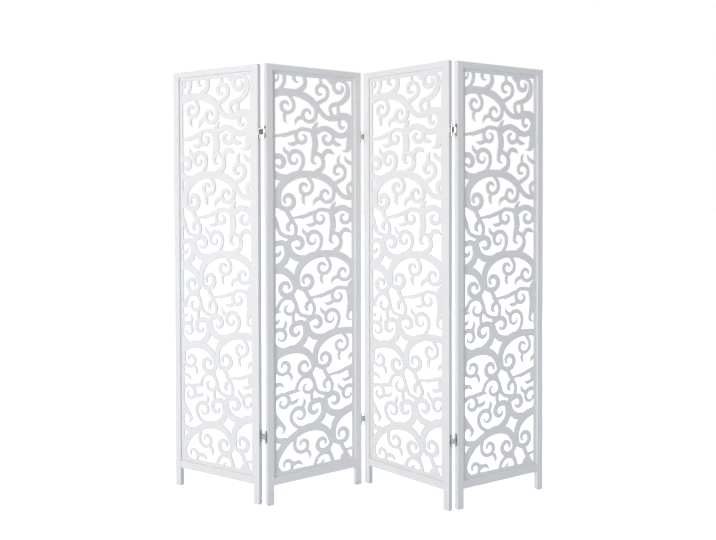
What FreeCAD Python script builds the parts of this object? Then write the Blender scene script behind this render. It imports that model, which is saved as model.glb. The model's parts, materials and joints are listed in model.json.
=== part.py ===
"""Four-panel folding screen: scroll-cut fretwork in light frames, joined by two-way hinges.

Millimetres. X runs along the zigzag, Y to the back, Z up, and the floor is at Z = 0.
"""
import FreeCAD
import Part
import Sketcher
import math
import os
from FreeCAD import Placement, Rotation, Vector

SIZES = [
    ("screen_height", 1700, "floor to the top of the stiles"),
    ("panel_width", 424, "one panel over both stiles"),
    ("stile_wide", 27, "face width of a stile"),
    ("stile_thick", 20, "thickness of the frame"),
    ("top_rail_high", 23, "face width of the top rail"),
    ("bottom_rail_high", 30, "face width of the bottom rail"),
    ("leg_high", 75, "floor to the bottom rail"),
    ("edge_round", 2, "round on the outer long edges of a stile"),
    ("groove_deep", 6, "groove for the sheet and the stub tenons"),
    ("tenon_shoulder", 5, "from a rail's outer edge to its tenon"),
    ("sheet_thick", 5, "fretwork sheet"),
    ("border_wide", 14, "plain border of the sheet, as seen inside the frame"),
    ("scroll_repeat", 328, "length after which the scrolls repeat"),
    ("scroll_tilt", 14.2, "lean of the scrolls, in degrees"),
    ("scroll_across", 191, "from the left edge to the middle of a diamond"),
    ("scroll_up", 603, "from the floor to the middle of that diamond"),
    ("hinge_from_floor", 265, "middle of the lower hinges"),
    ("hinge_from_top", 260, "middle of the upper hinges"),
    ("leaf_high", 46, "hinge leaf"),
    ("leaf_thick", 1.5, "hinge leaf"),
    ("pin_stand", 5, "end face of a stile to the middle of a pin"),
    ("pin_radius", 1.5, "hinge pin"),
    ("barrel_clear", 0.3, "link barrel to hinge leaf"),
    ("link_high", 20, "middle part of a hinge"),
    ("fold_gap", 2, "between two panels that are folded flat"),
    ("pin_play", 0.05, "pin to knuckle, on the radius"),
    ("end_play", 0.4, "link to knuckle, along the pin"),
    ("first_turn", -28.5, "panel 1 against X, in degrees"),
    ("turn_12_left", -13.5, "link 12 against panel 1"),
    ("turn_12_right", 73, "panel 2 against link 12"),
    ("turn_23_left", 15, "link 23 against panel 2"),
    ("turn_23_right", -88, "panel 3 against link 23"),
    ("turn_34_left", 88, "link 34 against panel 3"),
    ("turn_34_right", -18, "panel 4 against link 34"),
    ("saw_step", 1.5, "how far the straight runs of a scroll's edge may leave its curve"),
    ("saw_turn", 34, "most that a scroll's edge turns from one straight run to the next, in degrees"),
    ("least_opening", 13, "narrower gaps between scrolls stay uncut"),
    ("least_showing", 16, "strokes that stand out from the border by less are left out"),
    ("cut_overrun", 4, "how far cuts run past a surface"),
]

# Scroll strokes, measured from the middle of a diamond: points that a stroke starts through, the
# curl that it ends in (eye, first and last radius, first angle, sweep), and widths spread evenly
# along it. Each is cut again mirrored about the line through the diamonds. Below the tables are
# the shares of the repeat that one unit of a place and one unit of a width stand for.
SCROLL_SHARES = {
    "arch": (
        [(15, -283), (20, -204), (40, -128), (81, -62), (142, -15), (226, 20), (332, 34),
         (439, 20), (546, -9), (640, -53), (718, -113), (777, -189), (802, -242)],
        None, [64, 73, 88, 91, 79, 79, 82, 76]),
    "column curl": ([(20, -273), (73, -319)], (138, -234, 97, 32, -88, 309), [52, 55, 55, 52, 46, 26]),
    "arch curl": ([(462, -6)], (401, -137, 113, 24, 35, -400), [40, 41, 41, 40, 43, 43, 21]),
    "arch curl leaf": ([(378, -216), (344, -258), (338, -299), (357, -341)], None, [37, 41, 34, 5]),
    "end curl": ([(789, -212)], (662, -291, 116, 24, 5, -390), [49, 46, 49, 40, 41, 41, 22]),
    "end curl leaf": ([(600, -329), (550, -311), (500, -323), (465, -387)], None, [46, 46, 40, 5]),
    "loop": (
        [(15, -722), (15, -791), (32, -867), (84, -928), (157, -960), (241, -969), (325, -954),
         (401, -913)],
        (353, -777, 121, 26, -37, 410), [64, 73, 79, 67, 43, 41, 44, 47, 50, 36, 14]),
    "loop leaf": ([(302, -716), (271, -684), (248, -640), (250, -594)], None, [46, 43, 37, 5]),
    "loop curl": (
        [(15, -750), (40, -707)], (135, -777, 93, 32, 114, -281), [55, 61, 58, 58, 56, 44, 20]),
    "stem": (
        [(677, -479), (677, -555), (674, -631), (654, -707), (617, -771), (582, -829), (591, -878),
         (637, -893)],
        None, [61, 73, 76, 79, 67, 52, 40, 6]),
    "stem loop": (
        [(622, -760), (677, -786), (716, -829), (725, -890), (703, -948), (652, -984), (591, -997)],
        None, [49, 43, 46, 52, 61, 67]),
    "stem curl": (
        [(675, -532), (642, -488)], (517, -547, 108, 26, 50, 390),
        [46, 43, 43, 41, 43, 47, 44, 34, 14]),
    "bough": ([(485, -460), (401, -466), (332, -472), (259, -497)], None, [40, 46, 46, 5]),
    "stem curl leaf": ([(447, -578), (401, -599), (355, -597), (309, -564)], None, [40, 43, 40, 5]),
    "stem tip": ([(675, -509), (710, -463), (741, -436), (777, -405)], None, [55, 52, 40, 5]),
    "wave": (
        [(675, -539), (744, -514), (827, -503), (899, -532), (949, -582), (1007, -623), (1074, -642),
         (1140, -623), (1186, -570), (1198, -509), (1173, -456), (1125, -418)],
        None, [67, 61, 64, 67, 67, 64, 55, 46, 43, 52]),
    "wave curl": ([(945, -578)], (845, -625, 92, 24, -9, -285), [52, 49, 46, 46, 42, 20]),
    "wave leaf": ([(919, -677), (948, -716), (988, -739), (1030, -750)], None, [43, 49, 40, 5]),
    "loop tip": (
        [(718, -852), (751, -806), (805, -779), (850, -795), (893, -844)], None, [52, 49, 52, 46, 5]),
    "outer curl": (
        [(789, -204), (843, -184)], (902, -57, 114, 27, -88, 387), [52, 46, 41, 43, 43, 41, 43, 40, 14]),
    "outer curl leaf": ([(942, 2), (927, 55), (939, 98), (984, 128)], None, [43, 37, 34, 5]),
    "branch": (
        [(797, -212), (832, -283), (870, -347), (930, -395), (1003, -411), (1094, -405), (1186, -418),
         (1250, -471)],
        None, [61, 52, 52, 55, 70, 79, 67, 55]),
    "hoop": (
        [(991, -395), (977, -326), (984, -273), (1026, -247), (1094, -248), (1178, -232), (1247, -183),
         (1285, -113), (1289, -49), (1262, -3), (1208, 15)],
        None, [46, 41, 46, 52, 61, 70, 55, 43, 43]),
    "hoop bar": ([(1097, -235), (1091, -311), (1071, -387)], None, [43, 40, 46]),
    "hoop curl": (
        [(1216, 21), (1148, 34)], (1177, -55, 89, 27, 142, 262), [43, 46, 46, 49, 52, 50, 40, 16]),
    "hoop leaf": ([(1109, -3), (1064, 30), (1036, 78), (1030, 113)], None, [43, 43, 34, 5]),
    "branch curl": ([(1094, -425), (1064, -475), (1062, -521), (1087, -546), (1132, -527)], None,
                    [52, 40, 43, 43, 5]),
    "wave hook": ([(1186, -600), (1162, -684), (1138, -760), (1098, -823), (1018, -814)], None,
                  [60, 74, 76, 64, 5]),
}
# Strokes of the twig on the line through the diamonds, which isn't mirrored.
TWIG_SHARES = {
    "right twig": (
        [(73, -311), (104, -364), (120, -440), (152, -501), (166, -558), (155, -613), (122, -664),
         (73, -695)],
        None, [49, 49, 49, 46, 43, 43, 46]),
    "twig curl": (
        [(146, -482), (94, -501), (61, -535), (59, -570), (91, -594)], None, [40, 46, 49, 43, 5]),
    "bough root": ([(119, -448), (180, -460), (241, -463), (332, -471)], None, [37, 30, 34, 40]),
    "left twig": (
        [(-79, -311), (-85, -357), (-70, -433), (-62, -501), (-59, -558), (-26, -613), (30, -649),
         (96, -680)],
        None, [49, 49, 46, 43, 43, 43, 46]),
    "left curl": (
        [(-326, -472)], (-165, -479, 141, 28, 154, -430), [40, 40, 40, 40, 43, 46, 43, 41, 36, 14]),
    "left curl foot": ([(-94, -539), (-136, -593), (-145, -643), (-128, -699)], None, [37, 40, 43, 46]),
}
SPOT_SHARE = 0.001
WIDTH_SHARE = 0.00112
CURL_STEP = 45
POINTS_PER_KNOT = 2
PANELS = (1, 2, 3, 4)
JOINTS = ("12", "23", "34")
UPRIGHT = Vector(0, 0, 1)

doc = FreeCAD.newDocument("FoldingScreen")
sheet = doc.addObject("Spreadsheet::Sheet", "sizes")
for row, (alias, value, meaning) in enumerate(SIZES, 1):
    sheet.set(f"A{row}", meaning)
    sheet.set(f"B{row}", str(value))
    sheet.setAlias(f"B{row}", alias)
doc.recompute()

# Formulas that several pieces share.
HALF_THICK = "sizes.stile_thick / 2"
HALF_SHEET = "sizes.sheet_thick / 2"
RAIL_LONG = "(sizes.panel_width - 2 * sizes.stile_wide)"
BARREL_RADIUS = "(sizes.pin_stand - sizes.leaf_thick - sizes.barrel_clear)"
LINK_REACH = "(sizes.stile_thick + sizes.fold_gap)"


def size(formula):
    """A formula's value in millimetres or degrees."""
    return float(sheet.evalExpression(formula))


def sketch_on(body, plane_role, name):
    """A new sketch on one of the body's own origin planes."""
    plane = next(item for item in body.Origin.OriginFeatures if item.Role == plane_role)
    sketch = body.newObject("Sketcher::SketchObject", f"{body.Name}_{name}")
    sketch.AttachmentSupport = [(plane, "")]
    sketch.MapMode = "FlatFace"
    return sketch


def hold(sketch, item, point, direction, formula):
    """Hold a point at a formula's distance from the sketch's origin, or on its axis for 0."""
    if formula == "0":
        axis = -2 if direction == "DistanceX" else -1
        sketch.addConstraint(Sketcher.Constraint("PointOnObject", item, point, axis))
        return
    rule = Sketcher.Constraint(direction, -1, 1, item, point, size(formula))
    number = sketch.addConstraint(rule)
    sketch.setExpression(f"Constraints[{number}]", formula)


def draw_outline(sketch, corners):
    """A straight-sided outline through corners given as pairs of formulas."""
    spots = [Vector(size(across), size(up), 0) for across, up in corners]
    count = len(spots)
    for number in range(count):
        sketch.addGeometry(Part.LineSegment(spots[number], spots[(number + 1) % count]))
    for number, (across, up) in enumerate(corners):
        sketch.addConstraint(Sketcher.Constraint("Coincident", number, 2, (number + 1) % count, 1))
        hold(sketch, number, 1, "DistanceX", across)
        hold(sketch, number, 1, "DistanceY", up)


def draw_rectangle(sketch, left, right, low, high):
    """A rectangle between four formulas."""
    draw_outline(sketch, [(left, low), (right, low), (right, high), (left, high)])


def draw_circle(sketch, across, radius):
    """A circle centred on the sketch's first axis."""
    middle = Vector(size(across), 0, 0)
    number = sketch.addGeometry(Part.Circle(middle, UPRIGHT, size(radius)))
    hold(sketch, number, 3, "DistanceX", across)
    hold(sketch, number, 3, "DistanceY", "0")
    rule = sketch.addConstraint(Sketcher.Constraint("Radius", number, size(radius)))
    sketch.setExpression(f"Constraints[{rule}]", radius)


def add_feature(body, kind, sketch, length, sides="One side"):
    """A pad or pocket of a sketch."""
    feature = body.newObject(f"PartDesign::{kind}", f"{sketch.Name}_{kind.lower()}")
    feature.Profile = sketch
    feature.SideType = sides
    feature.setExpression("Length", length)
    return feature


def make_stile(name, place):
    """One stile, standing on the floor, with its grooved inner face towards +X."""
    body = doc.addObject("PartDesign::Body", name)
    section = sketch_on(body, "XY_Plane", "section")
    draw_rectangle(section, "0", "sizes.stile_wide", f"-{HALF_THICK}", HALF_THICK)
    stock = add_feature(body, "Pad", section, "sizes.screen_height")
    groove = sketch_on(body, "YZ_Plane", "groove")
    groove.setExpression("AttachmentOffset.Base.z", "sizes.stile_wide")
    draw_rectangle(
        groove, f"-{HALF_SHEET}", HALF_SHEET,
        "sizes.leg_high + sizes.tenon_shoulder", "sizes.screen_height - sizes.tenon_shoulder")
    grooved = add_feature(body, "Pocket", groove, "sizes.groove_deep")
    doc.recompute()
    assert grooved.Shape.Volume < stock.Shape.Volume
    outer_edges = []
    for number, edge in enumerate(grooved.Shape.Edges, 1):
        box = edge.BoundBox
        if box.XMax < size("sizes.edge_round") and box.ZLength > size("sizes.leg_high"):
            outer_edges.append(f"Edge{number}")
    eased = body.newObject("PartDesign::Fillet", f"{name}_eased")
    eased.Base = (grooved, outer_edges)
    eased.setExpression("Radius", "sizes.edge_round")
    body.Placement = place
    return body


def make_rail(name, high, place):
    """One rail, lying along X with its outer edge at Z = 0 and its grooved edge upwards."""
    body = doc.addObject("PartDesign::Body", name)
    groove_floor = f"{high} - sizes.groove_deep"
    section = sketch_on(body, "YZ_Plane", "section")
    draw_outline(section, [
        (f"-{HALF_THICK}", "0"), (HALF_THICK, "0"), (HALF_THICK, high), (HALF_SHEET, high),
        (HALF_SHEET, groove_floor), (f"-{HALF_SHEET}", groove_floor), (f"-{HALF_SHEET}", high),
        (f"-{HALF_THICK}", high)])
    add_feature(body, "Pad", section, RAIL_LONG, "Symmetric")
    tenon = sketch_on(body, "YZ_Plane", "tenon")
    draw_rectangle(tenon, f"-{HALF_SHEET}", HALF_SHEET, "sizes.tenon_shoulder", groove_floor)
    add_feature(body, "Pad", tenon, f"{RAIL_LONG} + 2 * sizes.groove_deep", "Symmetric")
    body.Placement = place
    return body


def make_leaf(name, place):
    """One hinge leaf: a plate on the stile's end face at X = 0 and two knuckles beyond it."""
    body = doc.addObject("PartDesign::Body", name)
    half_wide = f"({HALF_THICK} - sizes.edge_round)"
    plate = sketch_on(body, "XY_Plane", "plate")
    draw_rectangle(plate, "0", "sizes.leaf_thick", f"-{half_wide}", half_wide)
    add_feature(body, "Pad", plate, "sizes.leaf_high", "Symmetric")
    neck = sketch_on(body, "XY_Plane", "neck")
    draw_rectangle(neck, "0", "sizes.pin_stand", f"-{BARREL_RADIUS}", BARREL_RADIUS)
    add_feature(body, "Pad", neck, "sizes.leaf_high", "Symmetric")
    barrel = sketch_on(body, "XY_Plane", "barrel")
    draw_circle(barrel, "sizes.pin_stand", BARREL_RADIUS)
    add_feature(body, "Pad", barrel, "sizes.leaf_high", "Symmetric")
    opening = sketch_on(body, "XY_Plane", "link_opening")
    beyond = f"sizes.pin_stand + {BARREL_RADIUS} + sizes.cut_overrun"
    draw_rectangle(opening, "sizes.leaf_thick", beyond, f"-{half_wide}", half_wide)
    add_feature(body, "Pocket", opening, "sizes.link_high + 2 * sizes.end_play", "Symmetric")
    bore = sketch_on(body, "XY_Plane", "bore")
    draw_circle(bore, "sizes.pin_stand", "sizes.pin_radius + sizes.pin_play")
    add_feature(body, "Pocket", bore, "sizes.leaf_high + 2 * sizes.cut_overrun", "Symmetric")
    body.Placement = place
    return body


def make_link(name, place):
    """One hinge link, from the left pin at X = 0 to the right pin."""
    body = doc.addObject("PartDesign::Body", name)
    bar = sketch_on(body, "XY_Plane", "bar")
    draw_rectangle(bar, "0", LINK_REACH, f"-{BARREL_RADIUS}", BARREL_RADIUS)
    add_feature(body, "Pad", bar, "sizes.link_high", "Symmetric")
    barrels = sketch_on(body, "XY_Plane", "barrels")
    bores = sketch_on(body, "XY_Plane", "bores")
    for across in ("0", LINK_REACH):
        draw_circle(barrels, across, BARREL_RADIUS)
        draw_circle(bores, across, "sizes.pin_radius")
    add_feature(body, "Pad", barrels, "sizes.link_high", "Symmetric")
    add_feature(body, "Pocket", bores, "sizes.link_high + 2 * sizes.cut_overrun", "Symmetric")
    body.Placement = place
    return body


def make_pin(name, place):
    """One plain hinge pin, as long as a leaf, with its middle at Z = 0."""
    pin = doc.addObject("Part::Cylinder", name)
    pin.setExpression("Radius", "sizes.pin_radius")
    pin.setExpression("Height", "sizes.leaf_high")
    pin.Placement = place.multiply(Placement(Vector(0, 0, -size("sizes.leaf_high / 2")), Rotation()))
    return pin


def stroke_line(lead, curl):
    """The points that a stroke's middle line runs through, with its curl as a shrinking spiral."""
    points = [Vector(across, up, 0) for across, up in lead]
    if curl:
        eye_across, eye_up, outer, inner, start, sweep = curl
        steps = round(abs(sweep) / CURL_STEP)
        for step in range(steps + 1):
            radius = outer + (inner - outer) * step / steps
            angle = math.radians(start + sweep * step / steps)
            out = Vector(math.cos(angle), math.sin(angle), 0)
            points.append(Vector(eye_across, eye_up, 0) + out * radius)
    return points


def curve_through(points):
    """A smooth curve through points."""
    curve = Part.BSplineCurve()
    curve.interpolate(points)
    return curve


def stroke_face(stroke, hand):
    """A stroke's flat face: its middle line with half the local width on each side.

    The sides are cut in straight runs close to their curves, which keeps the sheet's faces few.
    """
    lead, curl, widths = stroke
    scale = SPOT_SHARE * size("sizes.scroll_repeat")
    broad = WIDTH_SHARE * size("sizes.scroll_repeat")
    line = curve_through([Vector(hand * spot.x, spot.y, 0) * scale for spot in stroke_line(lead, curl)])
    count = POINTS_PER_KNOT * (line.NbKnots - 1)
    sides = ([], [])
    for number in range(count + 1):
        share = number / count
        at = line.FirstParameter + (line.LastParameter - line.FirstParameter) * share
        spot = line.value(at)
        along = line.tangent(at)[0]
        band = share * (len(widths) - 1)
        before = min(int(band), len(widths) - 2)
        wide = broad * (widths[before] + (widths[before + 1] - widths[before]) * (band - before))
        across = Vector(-along.y, along.x, 0) * (wide / 2)
        sides[0].append(spot + across)
        sides[1].append(spot - across)
    step = size("sizes.saw_step")
    turn = math.radians(size("sizes.saw_turn"))
    edges = [curve_through(side).toShape() for side in sides]
    left, right = [edge.discretize(Angular=turn, Curvature=step) for edge in edges]
    return Part.Face(Part.makePolygon(left + right[::-1] + left[:1]))


def join_faces(pieces):
    """One face from pieces that share edges: an edge that only one piece has is on the rim.

    Rims too small for an opening are left out.
    """
    owners = {}
    for piece in pieces.Faces:
        for edge in piece.Edges:
            owners.setdefault(edge.hashCode(), []).append(edge)
    rim = [edges[0] for edges in owners.values() if len(edges) == 1]
    wires = [Part.Wire(run) for run in Part.sortEdges(rim)]
    wide_enough = [wire for wire in wires if Part.Face(wire).Area > size("sizes.least_opening") ** 2]
    return Part.makeFace(wide_enough, "Part::FaceMakerBullseye")


def upright_rectangle(left, right, low, high):
    """A flat rectangle in the drawing of a panel."""
    return Part.makePlane(right - left, high - low, Vector(left, low, 0))


def fretwork_face():
    """The sheet of a panel, drawn from its left end and the floor: scrolls joined to a plain border."""
    inset = size("sizes.stile_wide - sizes.groove_deep")
    low = size("sizes.leg_high + sizes.bottom_rail_high - sizes.groove_deep")
    high = size("sizes.screen_height - sizes.top_rail_high + sizes.groove_deep")
    right = size("sizes.panel_width") - inset
    border = size("sizes.groove_deep + sizes.border_wide")
    whole = upright_rectangle(inset, right, low, high)
    window = upright_rectangle(inset + border, right - border, low + border, high - border)
    one_repeat = [stroke_face(stroke, hand) for stroke in SCROLL_SHARES.values() for hand in (1, -1)]
    one_repeat += [stroke_face(stroke, 1) for stroke in TWIG_SHARES.values()]
    anchor = Vector(size("sizes.scroll_across"), size("sizes.scroll_up"), 0)
    lean = Placement(anchor, Rotation(UPRIGHT, size("sizes.scroll_tilt")))
    reach = math.ceil(size("sizes.screen_height / sizes.scroll_repeat"))
    strokes = []
    for repeat in range(-reach, reach + 1):
        step = Placement(Vector(0, repeat * size("sizes.scroll_repeat"), 0), Rotation())
        for face in one_repeat:
            placed = face.copy()
            placed.Placement = lean.multiply(step)
            if placed.common(window).BoundBox.XLength > size("sizes.least_showing"):
                strokes.append(placed)
    pieces = whole.cut(window).multiFuse(strokes).common(whole)
    return max(join_faces(pieces).Faces, key=lambda face: face.Area)


def make_fretwork(name, drawing, place):
    """One sheet, cut out along its drawing and stood upright with its middle at Y = 0."""
    cut_sheet = doc.addObject("Part::Extrusion", name)
    cut_sheet.Base = drawing
    cut_sheet.DirMode = "Custom"
    cut_sheet.Dir = UPRIGHT
    cut_sheet.setExpression("LengthFwd", "sizes.sheet_thick")
    cut_sheet.Symmetric = True
    cut_sheet.Solid = True
    cut_sheet.Placement = place
    return cut_sheet


def zigzag_places():
    """Where the panels (left end, on the floor) and the links (left pin) stand."""
    panels, links = {}, {}
    turn = size("sizes.first_turn")
    spot = Vector()
    for panel, joint in zip(PANELS, JOINTS + (None,)):
        panels[panel] = Placement(spot, Rotation(UPRIGHT, turn))
        if joint:
            spot = panels[panel].multVec(Vector(size("sizes.panel_width + sizes.pin_stand"), 0, 0))
            turn += size(f"sizes.turn_{joint}_left")
            links[joint] = Placement(spot, Rotation(UPRIGHT, turn))
            spot = links[joint].multVec(Vector(size(LINK_REACH), 0, 0))
            turn += size(f"sizes.turn_{joint}_right")
            spot += Rotation(UPRIGHT, turn).multVec(Vector(size("sizes.pin_stand"), 0, 0))
    return panels, links


def ground_shift(panels):
    """The move that brings the middle of the whole footprint to the origin."""
    ease = size("sizes.edge_round")
    half = size(HALF_THICK) - ease
    spans = []
    for place in panels.values():
        for along in (ease, size("sizes.panel_width") - ease):
            spans += [place.multVec(Vector(along, side, 0)) for side in (-half, half)]
    across = [spot.x for spot in spans]
    back = [spot.y for spot in spans]
    return Vector(-(min(across) + max(across)) / 2, -(min(back) + max(back)) / 2, 0)


panel_places, link_places = zigzag_places()
shift = Placement(ground_shift(panel_places), Rotation())
panel_places = {panel: shift.multiply(place) for panel, place in panel_places.items()}
link_places = {joint: shift.multiply(place) for joint, place in link_places.items()}
about_z = Rotation(UPRIGHT, 180)
about_x = Rotation(Vector(1, 0, 0), 180)
width = size("sizes.panel_width")
levels = {
    "upper": size("sizes.screen_height - sizes.hinge_from_top"),
    "lower": size("sizes.hinge_from_floor"),
}
drawing = doc.addObject("Part::Feature", "scroll_drawing")
drawing.Shape = fretwork_face()
nodes = []
for panel, place in panel_places.items():
    name = f"panel_{panel}"
    left_edge = Placement(Vector(), Rotation())
    right_edge = Placement(Vector(width, 0, 0), about_z)
    top_edge = Placement(Vector(width / 2, 0, size("sizes.screen_height")), about_x)
    bottom_edge = Placement(Vector(width / 2, 0, size("sizes.leg_high")), Rotation())
    nodes.append(make_stile(f"{name}_left_stile", place.multiply(left_edge)))
    nodes.append(make_stile(f"{name}_right_stile", place.multiply(right_edge)))
    nodes.append(make_rail(f"{name}_top_rail", "sizes.top_rail_high", place.multiply(top_edge)))
    nodes.append(make_rail(f"{name}_bottom_rail", "sizes.bottom_rail_high", place.multiply(bottom_edge)))
    upright_sheet = Placement(Vector(), Rotation(Vector(1, 0, 0), 90))
    nodes.append(make_fretwork(f"{name}_fretwork", drawing, place.multiply(upright_sheet)))
for panel, joint in zip(PANELS, JOINTS):
    for level, height in levels.items():
        name = f"hinge_{joint}_{level}"
        right_end = Placement(Vector(width, 0, height), Rotation())
        left_end = Placement(Vector(0, 0, height), about_z)
        left_pin = Placement(Vector(0, 0, height), Rotation())
        right_pin = Placement(Vector(size(LINK_REACH), 0, height), Rotation())
        link = link_places[joint]
        nodes.append(make_leaf(f"{name}_left_leaf", panel_places[panel].multiply(right_end)))
        nodes.append(make_leaf(f"{name}_right_leaf", panel_places[panel + 1].multiply(left_end)))
        nodes.append(make_link(f"{name}_link", link.multiply(left_pin)))
        nodes.append(make_pin(f"{name}_left_pin", link.multiply(left_pin)))
        nodes.append(make_pin(f"{name}_right_pin", link.multiply(right_pin)))
doc.recompute()

for item in doc.Objects:
    assert not {"Invalid", "Error"} & set(item.State), item.Name
os.makedirs("parts", exist_ok=True)
for node in nodes:
    solid = node.Shape
    assert solid.isValid() and len(solid.Solids) == 1, node.Name
    solid.exportStep(f"parts/{node.Name}.step")
print(f"{len(nodes)} pieces")
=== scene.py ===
# %% [markdown]
# # A white folding screen with scroll fretwork
# The real screen is a row of light wooden frames that stand in a zigzag. Each frame holds a thin
# sheet that is sawn right through into scrolls, and small two-way hinges join the frames.
# The solids of the wood and the hinges are loaded with their true sizes, so this lesson only
# dresses them: paint, plating, smooth saw cuts, screws, light and a camera. Lengths are in metres.

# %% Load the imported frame
import json
import math

import bmesh
import bpy
from mathutils import Matrix, Vector
from mathutils.geometry import delaunay_2d_cdt, interpolate_bezier

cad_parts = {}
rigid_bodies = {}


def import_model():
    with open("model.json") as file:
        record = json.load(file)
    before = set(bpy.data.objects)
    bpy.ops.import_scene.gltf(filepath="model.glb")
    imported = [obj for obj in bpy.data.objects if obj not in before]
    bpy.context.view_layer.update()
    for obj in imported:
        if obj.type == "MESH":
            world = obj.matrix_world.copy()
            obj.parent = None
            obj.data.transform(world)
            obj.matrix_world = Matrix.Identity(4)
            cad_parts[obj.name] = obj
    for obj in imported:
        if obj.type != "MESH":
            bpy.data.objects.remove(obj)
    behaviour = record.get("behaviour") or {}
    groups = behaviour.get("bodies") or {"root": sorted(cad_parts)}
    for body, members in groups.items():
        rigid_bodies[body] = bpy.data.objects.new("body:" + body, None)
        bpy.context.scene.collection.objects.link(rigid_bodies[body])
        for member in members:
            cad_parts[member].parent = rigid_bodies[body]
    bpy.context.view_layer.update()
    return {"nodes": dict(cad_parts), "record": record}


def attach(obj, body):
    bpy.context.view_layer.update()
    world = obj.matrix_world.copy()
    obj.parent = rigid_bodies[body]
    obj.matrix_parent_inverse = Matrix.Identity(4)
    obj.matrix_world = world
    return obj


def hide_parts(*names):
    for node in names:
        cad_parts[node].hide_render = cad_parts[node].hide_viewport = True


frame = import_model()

nodes = frame["nodes"]
print("solids loaded:", len(nodes))

# %% [markdown]
# ## Where the panels stand
# Every panel has its own direction in the zigzag. It could be typed in again, but the record
# already says where the two feet of each panel stand, so the direction is read from them.
# The front of a panel is its direction crossed with straight up.

# %% Read each panel's directions from its feet
UP = Vector((0, 0, 1))
PANELS = (1, 2, 3, 4)
feet = {mount["name"]: Vector(mount["pos_m"]) for mount in frame["record"]["mounts"]}
across = {}
front = {}
for panel in PANELS:
    left_foot = feet[f"panel_{panel}_left_foot"]
    right_foot = feet[f"panel_{panel}_right_foot"]
    across[panel] = (right_foot - left_foot).normalized()
    front[panel] = across[panel].cross(UP)
    turn = math.degrees(math.atan2(across[panel].y, across[panel].x))
    print(f"panel {panel} is turned {turn:.1f} degrees")

# %% [markdown]
# ## A way to write node trees
# Materials here are built from nodes. A few small helpers keep the recipes short: they add a node
# with its values, run a wire between two sockets, start a group, and bring noise into a range.

# %% Helpers for node trees
def add_node(tree, kind, values=None, **settings):
    """A new node with its settings and the values of its input sockets."""
    node = tree.nodes.new(kind)
    for name, value in settings.items():
        setattr(node, name, value)
    for name, value in (values or {}).items():
        node.inputs[name].default_value = value
    return node


def wire(tree, source, target):
    """A wire from an output socket to an input socket."""
    tree.links.new(source, target)


def new_group(name, inputs, outputs):
    """An empty shader group with its named sockets, and its inner input and output nodes."""
    group = bpy.data.node_groups.new(name, "ShaderNodeTree")
    for socket, kind, value in inputs:
        made = group.interface.new_socket(socket, in_out="INPUT", socket_type=kind)
        made.default_value = value
    for socket, kind in outputs:
        group.interface.new_socket(socket, in_out="OUTPUT", socket_type=kind)
    return group, group.nodes.new("NodeGroupInput"), group.nodes.new("NodeGroupOutput")


def scaled_noise(tree, vector, scale, detail):
    """A noise texture on a vector socket, as a value from 0 to 1."""
    noise = add_node(tree, "ShaderNodeTexNoise", {"Scale": scale, "Detail": detail})
    wire(tree, vector, noise.inputs["Vector"])
    return noise.outputs["Fac"]


def mapped(tree, value, low, high):
    """A value from 0 to 1 brought into the range from low to high."""
    node = add_node(tree, "ShaderNodeMapRange", {"To Min": low, "To Max": high})
    wire(tree, value, node.inputs["Value"])
    return node.outputs["Result"]


print("node helpers ready")

# %% [markdown]
# ## White paint
# The wood and the sheets carry the same satin white. Sprayed paint is never quite even: it has
# soft clouds of tone, a fine stipple, and over wood a hint of the grain below. All three could be
# images, but noise needs no unwrapping and has the right scale everywhere. The film is used by
# several materials, so it is one group, and each material gives it its own grain and stipple.

# %% A group for the paint film
COLOUR = "NodeSocketColor"
NUMBER = "NodeSocketFloat"
VECTOR = "NodeSocketVector"
WHITE = (1, 1, 1, 1)
CLOUD_SCALE = 5.0
CLOUD_DETAIL = 3.0
GRAIN_DETAIL = 2.0
STIPPLE_DETAIL = 1.0
SATIN_ROUGHNESS = (0.36, 0.52)


def make_paint_film():
    """Clouds, grain and stipple of a paint film, from the piece's own coordinates."""
    group, given, made = new_group(
        "paint_film",
        [("Paint", COLOUR, WHITE), ("Cloud", COLOUR, WHITE),
         ("Grain Stretch", VECTOR, (1, 1, 1)), ("Grain Share", NUMBER, 0.5),
         ("Stipple Scale", NUMBER, 700)],
        [("Color", COLOUR), ("Roughness", NUMBER), ("Height", NUMBER)])
    place = add_node(group, "ShaderNodeTexCoord").outputs["Object"]
    clouds = scaled_noise(group, place, CLOUD_SCALE, CLOUD_DETAIL)
    stretched = add_node(group, "ShaderNodeVectorMath", operation="MULTIPLY")
    wire(group, place, stretched.inputs[0])
    wire(group, given.outputs["Grain Stretch"], stretched.inputs[1])
    grain = scaled_noise(group, stretched.outputs["Vector"], 1.0, GRAIN_DETAIL)
    stipple = add_node(group, "ShaderNodeTexNoise", {"Detail": STIPPLE_DETAIL})
    wire(group, place, stipple.inputs["Vector"])
    wire(group, given.outputs["Stipple Scale"], stipple.inputs["Scale"])

    tone = add_node(group, "ShaderNodeMix", data_type="RGBA")
    wire(group, clouds, tone.inputs["Factor"])
    wire(group, given.outputs["Paint"], tone.inputs["A"])
    wire(group, given.outputs["Cloud"], tone.inputs["B"])
    wire(group, tone.outputs["Result"], made.inputs["Color"])
    wire(group, mapped(group, clouds, *SATIN_ROUGHNESS), made.inputs["Roughness"])
    relief = add_node(group, "ShaderNodeMix", data_type="FLOAT")
    wire(group, given.outputs["Grain Share"], relief.inputs["Factor"])
    wire(group, stipple.outputs["Fac"], relief.inputs["A"])
    wire(group, grain, relief.inputs["B"])
    wire(group, relief.outputs["Result"], made.inputs["Height"])
    return group


paint_film = make_paint_film()
print("group made:", paint_film.name)

# %% [markdown]
# The film goes over three grounds, and they differ only in what shows through it: long grain up
# the stiles, long grain along the rails, and the even face of the board that the sheets are cut
# from. Three separate recipes would drift apart, so one function makes all three.

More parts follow.
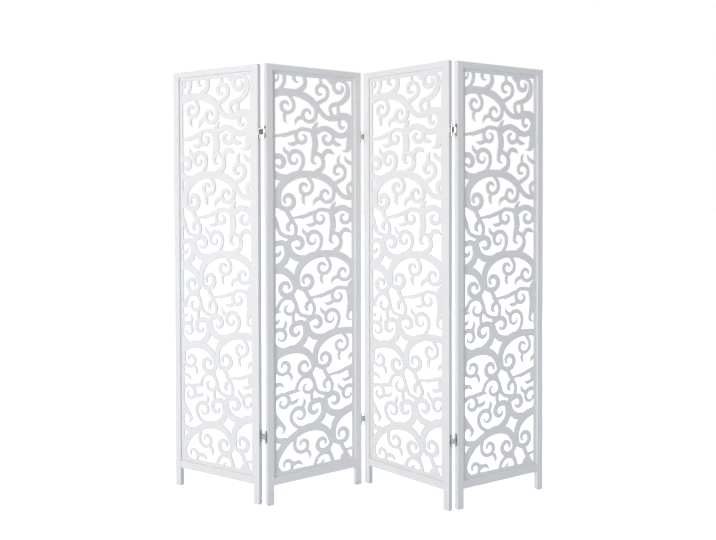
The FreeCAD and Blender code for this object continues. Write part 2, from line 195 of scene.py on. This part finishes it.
# %% Materials that use the paint film
PAINT = (0.83, 0.83, 0.82, 1)
PAINT_CLOUD = (0.79, 0.79, 0.785, 1)
RELIEF_DEPTH = 0.0004


def use_group(tree, group, values):
    """A group placed in a material with its own values."""
    node = add_node(tree, "ShaderNodeGroup")
    node.node_tree = group
    for name, value in values.items():
        node.inputs[name].default_value = value
    return node


def new_material(name):
    """A material, its node tree and its shader."""
    material = bpy.data.materials.new(name)
    material.use_nodes = True
    return material, material.node_tree, material.node_tree.nodes["Principled BSDF"]


def add_relief(tree, shader, height, strength):
    """A bump from a height socket to the shader's normal."""
    bump = add_node(tree, "ShaderNodeBump", {"Strength": strength, "Distance": RELIEF_DEPTH})
    wire(tree, height, bump.inputs["Height"])
    wire(tree, bump.outputs["Normal"], shader.inputs["Normal"])


def make_paint(name, stretch, grain_share, stipple, strength):
    """White satin paint over wood or board."""
    material, tree, shader = new_material(name)
    film = use_group(tree, paint_film, {
        "Paint": PAINT, "Cloud": PAINT_CLOUD, "Grain Stretch": stretch,
        "Grain Share": grain_share, "Stipple Scale": stipple})
    wire(tree, film.outputs["Color"], shader.inputs["Base Color"])
    wire(tree, film.outputs["Roughness"], shader.inputs["Roughness"])
    add_relief(tree, shader, film.outputs["Height"], strength)
    return material


stile_paint = make_paint(
    "white_paint_on_stiles", stretch=(420, 420, 9), grain_share=0.7, stipple=650, strength=0.10)
rail_paint = make_paint(
    "white_paint_on_rails", stretch=(9, 9, 420), grain_share=0.7, stipple=650, strength=0.10)
sheet_paint = make_paint(
    "white_paint_on_sheet", stretch=(60, 60, 60), grain_share=0.25, stipple=900, strength=0.07)
print("paints made:", stile_paint.name, rail_paint.name, sheet_paint.name)

# %% [markdown]
# ## Scuffed feet
# The feet are the one place where the paint gets knocked: shoes and brooms leave faint grey marks
# near the floor. They could be painted by hand. A mask that fades out with height, broken up by
# noise, needs no image and lays them over the colour of the stiles only.

# %% Scuff the feet
SCUFF = (0.55, 0.53, 0.50, 1)
SCUFF_REACH = 0.07
SCUFF_STRENGTH = 0.5
SCUFF_SCALE = 60.0
SCUFF_DETAIL = 4.0
SCUFF_EDGE = (0.5, 0.7)


def scuff_feet(material):
    """Lay grey marks over a paint near the floor."""
    tree = material.node_tree
    shader = tree.nodes["Principled BSDF"]
    paint = shader.inputs["Base Color"].links[0].from_socket
    place = add_node(tree, "ShaderNodeTexCoord").outputs["Object"]
    height = add_node(tree, "ShaderNodeSeparateXYZ")
    wire(tree, place, height.inputs["Vector"])
    fade = add_node(tree, "ShaderNodeMapRange", {
        "From Max": SCUFF_REACH, "To Min": SCUFF_STRENGTH, "To Max": 0.0})
    wire(tree, height.outputs["Z"], fade.inputs["Value"])
    marks = add_node(tree, "ShaderNodeMapRange", {
        "From Min": SCUFF_EDGE[0], "From Max": SCUFF_EDGE[1]})
    wire(tree, scaled_noise(tree, place, SCUFF_SCALE, SCUFF_DETAIL), marks.inputs["Value"])
    share = add_node(tree, "ShaderNodeMath", operation="MULTIPLY")
    wire(tree, fade.outputs["Result"], share.inputs[0])
    wire(tree, marks.outputs["Result"], share.inputs[1])
    worn = add_node(tree, "ShaderNodeMix", {"B": SCUFF}, data_type="RGBA")
    wire(tree, share.outputs["Value"], worn.inputs["Factor"])
    wire(tree, paint, worn.inputs["A"])
    wire(tree, worn.outputs["Result"], shader.inputs["Base Color"])


scuff_feet(stile_paint)
print("feet scuffed up to", SCUFF_REACH, "m")

# %% [markdown]
# ## Plated steel
# The hinges are pressed steel with a thin plating. Plating clouds over with handling and picks up
# fine scratches along the way the metal was rolled. Leaves, pins and screws share that effect in
# different tones, so it is a group too. Metalness is the same all over and stays on the shader.

# %% A group for worn plating
TARNISH_DETAIL = 4.0
ROLLED_STRETCH = (2500, 2500, 60)
SCRATCH_DETAIL = 1.0
PLATED_ROUGHNESS = (0.10, 0.32)


def make_worn_plating():
    """Cloudy tarnish and fine scratches of a plated surface."""
    group, given, made = new_group(
        "worn_plating",
        [("Bright", COLOUR, WHITE), ("Tarnish", COLOUR, WHITE),
         ("Cloud Scale", NUMBER, 120)],
        [("Color", COLOUR), ("Roughness", NUMBER), ("Height", NUMBER)])
    place = add_node(group, "ShaderNodeTexCoord").outputs["Object"]
    clouds = add_node(group, "ShaderNodeTexNoise", {"Detail": TARNISH_DETAIL})
    wire(group, place, clouds.inputs["Vector"])
    wire(group, given.outputs["Cloud Scale"], clouds.inputs["Scale"])
    rolled = add_node(group, "ShaderNodeVectorMath", operation="MULTIPLY")
    wire(group, place, rolled.inputs[0])
    rolled.inputs[1].default_value = ROLLED_STRETCH
    scratches = scaled_noise(group, rolled.outputs["Vector"], 1.0, SCRATCH_DETAIL)
    tone = add_node(group, "ShaderNodeMix", data_type="RGBA")
    wire(group, clouds.outputs["Fac"], tone.inputs["Factor"])
    wire(group, given.outputs["Bright"], tone.inputs["A"])
    wire(group, given.outputs["Tarnish"], tone.inputs["B"])
    wire(group, tone.outputs["Result"], made.inputs["Color"])
    wire(group, mapped(group, clouds.outputs["Fac"], *PLATED_ROUGHNESS), made.inputs["Roughness"])
    wire(group, scratches, made.inputs["Height"])
    return group


worn_plating = make_worn_plating()
print("group made:", worn_plating.name)

# %% [markdown]
# The plates are the brightest, the pins are plain steel, and the screws are darker still, as cheap
# screws are. Only the two tones and the size of the clouds change from one to the next.

# %% Steels that use the worn plating
SCRATCH_STRENGTH = 0.05


def make_steel(name, bright, tarnish, cloud_scale):
    """Plated steel with the shared wear."""
    material, tree, shader = new_material(name)
    shader.inputs["Metallic"].default_value = 1.0
    wear = use_group(tree, worn_plating, {
        "Bright": bright, "Tarnish": tarnish, "Cloud Scale": cloud_scale})
    wire(tree, wear.outputs["Color"], shader.inputs["Base Color"])
    wire(tree, wear.outputs["Roughness"], shader.inputs["Roughness"])
    add_relief(tree, shader, wear.outputs["Height"], SCRATCH_STRENGTH)
    return material


hinge_steel = make_steel(
    "hinge_plate_steel", bright=(0.80, 0.80, 0.78, 1), tarnish=(0.52, 0.52, 0.51, 1), cloud_scale=120)
pin_steel = make_steel(
    "hinge_pin_steel", bright=(0.62, 0.62, 0.60, 1), tarnish=(0.40, 0.40, 0.39, 1), cloud_scale=260)
screw_steel = make_steel(
    "screw_steel", bright=(0.46, 0.45, 0.43, 1), tarnish=(0.28, 0.27, 0.26, 1), cloud_scale=300)
print("steels made:", hinge_steel.name, pin_steel.name, screw_steel.name)

# %% [markdown]
# ## Frames
# The stiles and rails are planed wood. Paint gathers on sharp corners, so no edge of the real
# frame is knife-sharp. The edges could be rounded in the solids, at the cost of many more faces.
# Here the loaded solids keep their shape, and a bevel modifier rolls the last fraction of a
# millimetre. The solids arrive with loose seams between their faces, so a weld comes first, and
# weighted normals keep the flat faces flat.

# %% Paint the frames and ease their edges
WELD_GAP = 0.000002
EASE_TURN = math.radians(40)
EASE_STEPS = 2
PAINT_ROLL = 0.0008


def ease_edges(piece, width):
    """Weld a loaded solid's seams, roll its edges and keep its flat faces flat."""
    weld = piece.modifiers.new("weld_seams", "WELD")
    weld.merge_threshold = WELD_GAP
    roll = piece.modifiers.new("eased_edges", "BEVEL")
    roll.width = width
    roll.segments = EASE_STEPS
    roll.limit_method = "ANGLE"
    roll.angle_limit = EASE_TURN
    flat = piece.modifiers.new("flat_faces", "WEIGHTED_NORMAL")
    flat.keep_sharp = True
    for face in piece.data.polygons:
        face.use_smooth = True


def dress(piece, material):
    """Give a piece its finished material."""
    piece.data.materials.clear()
    piece.data.materials.append(material)


frame_pieces = 0
for panel in PANELS:
    for part, paint in (("left_stile", stile_paint), ("right_stile", stile_paint),
                        ("top_rail", rail_paint), ("bottom_rail", rail_paint)):
        piece = nodes[f"panel_{panel}_{part}"]
        dress(piece, paint)
        ease_edges(piece, PAINT_ROLL)
        frame_pieces += 1
print("frame pieces painted:", frame_pieces)

# %% [markdown]
# ## Fretwork sheets
# Each sheet is sawn into scrolls. The solid's saw cuts are short straight runs, which is light to
# compute with but too angular for a close look. Subdividing the solid would also round the sharp
# crotches, so its outlines are read instead and drawn again as smooth lines.

# %% Read the outlines of a sheet
FACING_SHARE = 0.9
LEAST_STEP = 0.0012


def front_outlines(node, along, out):
    """The closed outlines of a sheet's front face, as points (along the panel, up)."""
    mesh = bmesh.new()
    mesh.from_mesh(node.data)
    bmesh.ops.remove_doubles(mesh, verts=mesh.verts, dist=WELD_GAP)
    facing = [face for face in mesh.faces if face.normal.dot(out) > FACING_SHARE]
    known = set(facing)
    following = {}
    for face in facing:
        for loop in face.loops:
            if sum(other in known for other in loop.edge.link_faces) == 1:
                following[loop.vert] = loop.link_loop_next.vert
    outlines = []
    while following:
        start, spot = following.popitem()
        run = [start]
        while spot is not start:
            run.append(spot)
            spot = following.pop(spot)
        outlines.append([Vector((vert.co.dot(along), vert.co.z)) for vert in run])
    mesh.free()
    return outlines


def thinned(outline):
    """An outline without points that crowd their neighbour."""
    kept = [outline[0]]
    for spot in outline[1:]:
        if (spot - kept[-1]).length > LEAST_STEP:
            kept.append(spot)
    return kept


print("outline readers ready")

# %% [markdown]
# A saw follows a bend without corners, but it also stops and starts again in the crotch between
# two scrolls. So every point of an outline is looked at: where the line turns gently it gets
# Bezier handles along the bend, and where it turns sharply it gets none and stays a corner.
# Handles are as long as the shorter run beside them allows, so that straight borders stay straight.

# %% Bend the straight runs of an outline
CORNER_TURN = math.radians(48)
HANDLE_SHARE = 0.345
SAW_STEPS = 4


def handles(before, spot, after):
    """The Bezier handles of an outline's point, on both sides of it."""
    arriving, leaving = spot - before, after - spot
    if arriving.angle(leaving, 0) > CORNER_TURN:
        return spot, spot
    pull = HANDLE_SHARE * min(arriving.length, leaving.length)
    along = (arriving.normalized() + leaving.normalized()).normalized() * pull
    return spot - along, spot + along


def bent(outline):
    """An outline whose runs are curves between the handles of their ends."""
    neighbours = zip(outline[-1:] + outline[:-1], outline, outline[1:] + outline[:1])
    pulls = [handles(*three) for three in neighbours]
    line = []
    for number, spot in enumerate(outline):
        after = (number + 1) % len(outline)
        leaving, arriving = pulls[number][1], pulls[after][0]
        line += interpolate_bezier(spot, leaving, arriving, outline[after], SAW_STEPS + 1)[:-1]
    return line


print("outlines bend in", SAW_STEPS, "steps")

# %% [markdown]
# The flat face lies between the outer outline and the openings. A filled curve could make it, but
# that fill can spill over where two cuts come close. A constrained triangulation always holds:
# every run of the outlines is one of its edges, and wood and air swap at each of them, counted
# from outside.

# %% Fill the face between the outlines
def sides(triangle):
    """A triangle's edges, as pairs of points in its own direction."""
    return list(zip(triangle, triangle[1:] + triangle[:1]))


def fill_between(outlines):
    """The points and triangles of the region inside an odd number of outlines."""
    runs = []
    for outline in outlines:
        first = len(runs)
        count = len(outline)
        runs += [(first + step, first + (step + 1) % count) for step in range(count)]
    spots = [spot for outline in outlines for spot in outline]
    points, lines, triangles, _, sources, _ = delaunay_2d_cdt(spots, runs, [], 0, WELD_GAP)
    swaps = {frozenset(line): len(source) % 2 for line, source in zip(lines, sources)}
    owners = {}
    for number, triangle in enumerate(triangles):
        for side in sides(triangle):
            owners.setdefault(frozenset(side), []).append(number)
    waiting = [(owner[0], swaps[side]) for side, owner in owners.items() if len(owner) == 1]
    wood = {}
    while waiting:
        number, solid = waiting.pop()
        if number not in wood:
            wood[number] = solid
            for side in map(frozenset, sides(triangles[number])):
                waiting += [(other, solid ^ swaps[side]) for other in owners[side]]
    return points, [triangle for number, triangle in enumerate(triangles) if wood[number]]


print("faces are filled by triangles")

# %% [markdown]
# The sheet is that face twice, front and back, with a wall along every cut. Sanding and paint
# take the sharpness off the rims, so the points of the flat faces on a rim are drawn in a little
# and a narrow sloping strip leads to the wall. At a fine tip there is no room for that: where a
# triangle would turn over, its points are drawn in less.

# %% Raise a sheet with sanded rims
SAW_ROLL = 0.0007
ROLL_TRIES = 10


def doubled_area(first, second, third):
    """Twice a triangle's area, below zero where it is turned over."""
    return (second - first).cross(third - first)


def drawn_in(points, triangles, rim):
    """The points of a face with those on its rim moved inwards by the sanded roll."""
    pulls = [Vector((0, 0)) for _ in points]
    for start, end in rim:
        inward = (points[end] - points[start]).normalized().orthogonal()
        pulls[start] += inward
        pulls[end] += inward
    pulls = [pull.normalized() * SAW_ROLL for pull in pulls]
    for _ in range(ROLL_TRIES):
        moved = [point + pull for point, pull in zip(points, pulls)]
        turned_over = set()
        for triangle in triangles:
            if doubled_area(*[moved[corner] for corner in triangle]) < 0:
                turned_over.update(triangle)
        for corner in turned_over:
            pulls[corner] = pulls[corner] / 2
    return moved


def raised_sheet(name, outlines, thick):
    """A sheet's mesh: two flat faces, sanded rims and the walls of the saw cuts."""
    points, triangles = fill_between(outlines)
    directed = {side: True for triangle in triangles for side in sides(triangle)}
    rim = [side for side in directed if side[::-1] not in directed]
    flat = drawn_in(points, triangles, rim)
    levels = ((flat, thick / 2), (points, thick / 2 - SAW_ROLL),
              (points, SAW_ROLL - thick / 2), (flat, -thick / 2))
    count = len(points)
    steps = len(levels) - 1
    verts = [(spot.x, spot.y, level) for layer, level in levels for spot in layer]
    faces = list(triangles)
    faces += [[corner + steps * count for corner in triangle[::-1]] for triangle in triangles]
    for start, end in rim:
        for upper in range(steps):
            high, low = upper * count, (upper + 1) * count
            faces.append((low + start, low + end, high + end, high + start))
    mesh = bpy.data.meshes.new(name)
    mesh.from_pydata(verts, [], faces)
    return mesh


print("sheets can be raised")

# %% [markdown]
# The four sheets are cut alike, but each panel has its own direction in the zigzag. A sheet is
# built lying flat and then stood where its solid stands: the first axis goes along the panel, the
# second up and the third out. It takes the place of that solid and moves with its panel.

# %% Cut a smooth sheet for each panel
SMOOTH_TURN = math.radians(50)
scene_objects = bpy.context.scene.collection.objects

for panel in PANELS:
    node = nodes[f"panel_{panel}_fretwork"]
    depths = [vert.co.dot(front[panel]) for vert in node.data.vertices]
    outlines = [bent(thinned(run)) for run in front_outlines(node, across[panel], front[panel])]
    mesh = raised_sheet(f"panel_{panel}_scrolls", outlines, max(depths) - min(depths))
    sheet = bpy.data.objects.new(f"panel_{panel}_scrolls", mesh)
    scene_objects.link(sheet)
    turned = Matrix((across[panel], UP, front[panel])).transposed().to_4x4()
    sheet.matrix_world = Matrix.Translation(front[panel] * (max(depths) + min(depths)) / 2) @ turned
    mesh.polygons.foreach_set("use_smooth", [True] * len(mesh.polygons))
    mesh.set_sharp_from_angle(angle=SMOOTH_TURN)
    flat = sheet.modifiers.new("flat_faces", "WEIGHTED_NORMAL")
    flat.keep_sharp = True
    dress(sheet, sheet_paint)
    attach(sheet, f"panel_{panel}")
    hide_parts(f"panel_{panel}_fretwork")
    print(f"sheet {panel}: {len(outlines)} outlines, {len(mesh.vertices)} points")

# %% [markdown]
# ## Hinges
# Each two-way hinge has a leaf on either stile, a link between them and two pins. They could be
# modelled here, but their solids already have every knuckle and bore, so these stay. They get
# the plating and a finer roll of their edges than the wood has.

# %% Plate the hinges
HINGE_ROLL = 0.00025
hinge_pieces = 0
for name, piece in nodes.items():
    if name.startswith("hinge_"):
        dress(piece, pin_steel if name.endswith("_pin") else hinge_steel)
        ease_edges(piece, HINGE_ROLL)
        hinge_pieces += 1
print("hinge pieces plated:", hinge_pieces)

# %% [markdown]
# The screws and the ends of the pins are left to this lesson. Both are turned: a short profile goes
# round an axis in rings. A primitive could be squashed into that shape, but a profile gives the
# rolled rim of a real head. A screw also has a cross cut into its top.

# %% A turned head and a screw head
TURN_STEPS = 24
HEAD_TURN = math.radians(40)
SCREW_RADIUS = 0.0019
SCREW_DOME = 0.0004
SCREW_PROFILE_SHARES = ((1.0, 0.0), (0.97, 0.45), (0.88, 0.82), (0.74, 1.0))
CROSS_LONG = 0.0011
CROSS_WIDE = 0.00026
CROSS_DEEP = 0.0003
CROSS_CORNERS = ((CROSS_LONG, -CROSS_WIDE), (CROSS_LONG, CROSS_WIDE), (CROSS_WIDE, CROSS_WIDE))
CROSS_ARMS = 4


def turned_rim(mesh, middle, side, out, profile):
    """A head turned about an axis and closed below. It gives its last ring, which is still open."""
    upright = out.cross(side)
    rings = []
    for radius, rise in profile:
        ring = []
        for step in range(TURN_STEPS):
            angle = math.tau * step / TURN_STEPS
            arm = side * math.cos(angle) + upright * math.sin(angle)
            ring.append(mesh.verts.new(middle + arm * radius + out * rise))
        rings.append(ring)
    mesh.faces.new(rings[0])
    for lower, upper in zip(rings, rings[1:]):
        for step in range(TURN_STEPS):
            after = (step + 1) % TURN_STEPS
            mesh.faces.new((lower[step], lower[after], upper[after], upper[step]))
    return rings[-1]


def loop_edges(mesh, ring):
    """The edges that close a ring of points."""
    edges = []
    for first, second in zip(ring, ring[1:] + ring[:1]):
        edges.append(mesh.edges.get((first, second)) or mesh.edges.new((first, second)))
    return edges


def screw_head(mesh, middle, side, out, turn):
    """A low head with a cross recess, standing on a plate."""
    profile = [(SCREW_RADIUS * wide, SCREW_DOME * rise) for wide, rise in SCREW_PROFILE_SHARES]
    rim = turned_rim(mesh, middle, side, out, profile)
    upright = out.cross(side)
    cross = []
    for arm in range(CROSS_ARMS):
        angle = turn + math.tau * arm / CROSS_ARMS
        long_arm = side * math.cos(angle) + upright * math.sin(angle)
        wide_arm = out.cross(long_arm)
        for along, off in CROSS_CORNERS:
            cross.append(middle + long_arm * along + wide_arm * off + out * SCREW_DOME)
    mouth = [mesh.verts.new(spot) for spot in cross]
    bed = [mesh.verts.new(spot - out * CROSS_DEEP) for spot in cross]
    edges = loop_edges(mesh, rim) + loop_edges(mesh, mouth)
    bmesh.ops.triangle_fill(mesh, edges=edges, use_beauty=True)
    for step in range(len(mouth)):
        after = (step + 1) % len(mouth)
        mesh.faces.new((mouth[step], bed[step], bed[after], mouth[after]))
    mesh.faces.new(bed)


def finish_piece(name, mesh, material, body):
    """Turn built points and faces into a smooth piece that rides on a body."""
    bmesh.ops.recalc_face_normals(mesh, faces=mesh.faces)
    data = bpy.data.meshes.new(name)
    mesh.to_mesh(data)
    mesh.free()
    data.polygons.foreach_set("use_smooth", [True] * len(data.polygons))
    data.set_sharp_from_angle(angle=HEAD_TURN)
    piece = bpy.data.objects.new(name, data)
    scene_objects.link(piece)
    dress(piece, material)
    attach(piece, body)


print("turned heads ready")

# %% [markdown]
# The leaf shows where its screws go: it lies flat on the end of the stile, and the screws stand in
# the four corners of its plate, clear of the knuckles and of the link that swings past between
# them. No one lines up the crosses of screws, so each head is turned further than the last.

# %% Drive the screws
LEAF_THICK = 0.0015
SCREW_ACROSS = 0.0056
SCREW_UP = 0.0168
FIRST_SCREW_TURN = 0.3
NEXT_SCREW_TURN = 2.4
LEVELS = ("upper", "lower")
JOINTS = tuple(zip(PANELS, PANELS[1:]))


def reach(node, direction):
    """The least and the most that a solid reaches along a direction."""
    lengths = [vert.co.dot(direction) for vert in node.data.vertices]
    return min(lengths), max(lengths)


def drive_screws(hinge, side, panel, outward, turn):
    """The four screws of a leaf. It gives the turn for the next screw."""
    leaf = nodes[f"{hinge}_{side}_leaf"]
    out = front[panel]
    plate = outward * (reach(leaf, outward)[0] + LEAF_THICK)
    middle_out = sum(reach(leaf, out)) / 2
    middle_up = sum(reach(leaf, UP)) / 2
    mesh = bmesh.new()
    for sideways in (-SCREW_ACROSS, SCREW_ACROSS):
        for rise in (-SCREW_UP, SCREW_UP):
            spot = plate + out * (middle_out + sideways) + UP * (middle_up + rise)
            screw_head(mesh, spot, out, outward, turn)
            turn += NEXT_SCREW_TURN
    finish_piece(f"{hinge}_{side}_screws", mesh, screw_steel, f"panel_{panel}")
    return turn


screw_turn = FIRST_SCREW_TURN
leaf_count = 0
for first, second in JOINTS:
    for level in LEVELS:
        hinge = f"hinge_{first}{second}_{level}"
        screw_turn = drive_screws(hinge, "left", first, across[first], screw_turn)
        screw_turn = drive_screws(hinge, "right", second, -across[second], screw_turn)
        leaf_count += 2
print("leaves screwed on:", leaf_count)

# %% [markdown]
# A pin is held by heading its ends over, which leaves a low dome above and below the knuckles.
# The pins' solids end flat, so each end gets such a dome, which moves with the link.

# %% Round the pin ends
PIN_PROFILE_SHARES = ((1.0, 0.0), (0.94, 0.35), (0.72, 0.72), (0.36, 0.94), (0.05, 1.0))
PIN_DOME = 0.0007
AXES = (Vector((1, 0, 0)), Vector((0, 1, 0)), UP)


def dome_pin(mesh, pin):
    """Domes on both ends of an upright pin."""
    (west, east), (south, north), (low, high) = (reach(pin, axis) for axis in AXES)
    radius = (east - west) / 2
    profile = [(radius * wide, PIN_DOME * rise) for wide, rise in PIN_PROFILE_SHARES]
    for end, way in ((high, UP), (low, -UP)):
        spot = Vector(((west + east) / 2, (south + north) / 2, end))
        mesh.faces.new(turned_rim(mesh, spot, AXES[0], way, profile))


hinge_count = 0
for first, second in JOINTS:
    for level in LEVELS:
        hinge = f"hinge_{first}{second}_{level}"
        mesh = bmesh.new()
        for side in ("left", "right"):
            dome_pin(mesh, nodes[f"{hinge}_{side}_pin"])
        finish_piece(f"{hinge}_pin_ends", mesh, pin_steel, f"link_{first}{second}")
        hinge_count += 1
print("hinges with domed pins:", hinge_count)

# %% [markdown]
# ## Floor
# The screen stands in a white studio where floor and wall run into each other. A curved backdrop
# could do that, but it would have to be turned for every view. A wide flat floor works from all
# sides: it glows a little for the camera alone, until it is as white as the surround. Its cool
# tint sends a trace of blue up into the lower paint.

# %% Lay the floor
FLOOR_SIZE = 120
FLOOR_TINT = (0.77, 0.84, 0.98, 1)
FLOOR_GLOW = 0.6
FLOOR_CLOUD_SCALE = 0.8
FLOOR_CLOUD_DETAIL = 2.0
FLOOR_ROUGHNESS = (0.7, 0.85)

half = FLOOR_SIZE / 2
floor_mesh = bpy.data.meshes.new("floor")
floor_mesh.from_pydata(
    [(-half, -half, 0), (half, -half, 0), (half, half, 0), (-half, half, 0)], [], [(0, 1, 2, 3)])
floor = bpy.data.objects.new("floor", floor_mesh)
scene_objects.link(floor)
floor_paint, tree, shader = new_material("pale_floor")
place = add_node(tree, "ShaderNodeTexCoord").outputs["Object"]
clouds = scaled_noise(tree, place, FLOOR_CLOUD_SCALE, FLOOR_CLOUD_DETAIL)
wire(tree, mapped(tree, clouds, *FLOOR_ROUGHNESS), shader.inputs["Roughness"])
shader.inputs["Base Color"].default_value = FLOOR_TINT
shader.inputs["Emission Color"].default_value = WHITE
glow = add_node(tree, "ShaderNodeMath", operation="MULTIPLY")
glow.inputs[1].default_value = FLOOR_GLOW
wire(tree, add_node(tree, "ShaderNodeLightPath").outputs["Is Camera Ray"], glow.inputs[0])
wire(tree, glow.outputs["Value"], shader.inputs["Emission Strength"])
dress(floor, floor_paint)
print("floor laid:", FLOOR_SIZE, "m wide")

# %% [markdown]
# ## Surround
# A white room lights the screen from everywhere, but as bright as it looks it would wash out the
# difference between the panels. So the surround is white where the camera sees it, and a softer,
# slightly warm sky where it only gives light.

# %% Wrap the scene in a white surround
SKY_TINT = (1.0, 0.987, 0.96, 1)
SKY_STRENGTH = 0.295

world = bpy.data.worlds.new("white_surround")
world.use_nodes = True
tree = world.node_tree
soft_sky = tree.nodes["Background"]
soft_sky.inputs["Color"].default_value = SKY_TINT
soft_sky.inputs["Strength"].default_value = SKY_STRENGTH
backdrop = add_node(tree, "ShaderNodeBackground", {"Color": WHITE, "Strength": 1.0})
seen = add_node(tree, "ShaderNodeMixShader")
wire(tree, add_node(tree, "ShaderNodeLightPath").outputs["Is Camera Ray"], seen.inputs["Fac"])
wire(tree, soft_sky.outputs["Background"], seen.inputs[1])
wire(tree, backdrop.outputs["Background"], seen.inputs[2])
wire(tree, seen.outputs["Shader"], tree.nodes["World Output"].inputs["Surface"])
bpy.context.scene.world = world
print("surround strength:", SKY_STRENGTH)

# %% [markdown]
# ## Lights
# Three lights do the rest. A large softbox from the front left makes the panels that face it
# brighter than their neighbours, a very wide diffuser overhead lights the top edges, and a weak
# fill from behind keeps the back from going grey. All are soft, so no hard shadow falls anywhere.

# %% Hang the lights
LIGHT_WIDE = 2.6
LIGHT_TARGET = Vector((0, 0, 0.8))
OVERHEAD_STRENGTH = 1.05
OVERHEAD_SPREAD = math.radians(80)


def soft_light(name, spot, watts, tint):
    """A square soft light that looks at the screen and isn't seen itself."""
    lamp = bpy.data.lights.new(name, "AREA")
    lamp.size = LIGHT_WIDE
    lamp.energy = watts
    lamp.color = tint
    holder = bpy.data.objects.new(name, lamp)
    holder.visible_camera = False
    scene_objects.link(holder)
    holder.location = spot
    holder.rotation_euler = (LIGHT_TARGET - Vector(spot)).to_track_quat("-Z", "Y").to_euler()
    print(f"{name}: {watts} W")


soft_light("front_left_softbox", spot=(-4.7, -6.6, 2.5), watts=318, tint=(1.0, 0.977, 0.94))
soft_light("rear_fill", spot=(2.2, 4.6, 2.2), watts=70, tint=(1.0, 1.0, 1.0))
overhead = bpy.data.lights.new("overhead_diffuser", "SUN")
overhead.energy = OVERHEAD_STRENGTH
overhead.angle = OVERHEAD_SPREAD
scene_objects.link(bpy.data.objects.new("overhead_diffuser", overhead))
bpy.context.scene.view_settings.view_transform = "Standard"

# %% [markdown]
# ## Camera
# The camera stands a little left of the middle of the zigzag, at chest height, and looks almost
# level, so the stiles stay upright in the picture. The picture was framed lower than that, so the
# lens is shifted instead of tilted, just as far as the framing needs.

# %% Set the camera
SENSOR_WIDE = 36
IMAGE_WIDE = 716
FOCAL_PIXELS = 711.5
MIDDLE_PIXELS = (-5.3, -58.6)
CAMERA_SPOT = (-0.0173, -2.8183, 1.172)
LOOK_DOWN = math.radians(0.81)
LEAN = math.radians(-0.15)
lens = bpy.data.cameras.new("photo_camera")
lens.sensor_width = SENSOR_WIDE
lens.lens = SENSOR_WIDE * FOCAL_PIXELS / IMAGE_WIDE
lens.shift_x = -MIDDLE_PIXELS[0] / IMAGE_WIDE
lens.shift_y = MIDDLE_PIXELS[1] / IMAGE_WIDE
camera = bpy.data.objects.new("photo_camera", lens)
camera.location = CAMERA_SPOT
level = Matrix.Rotation(math.pi / 2 - LOOK_DOWN, 3, "X") @ Matrix.Rotation(LEAN, 3, "Z")
camera.rotation_euler = level.to_euler()
scene_objects.link(camera)
bpy.context.scene.camera = camera
print(f"camera lens {lens.lens:.1f} mm")
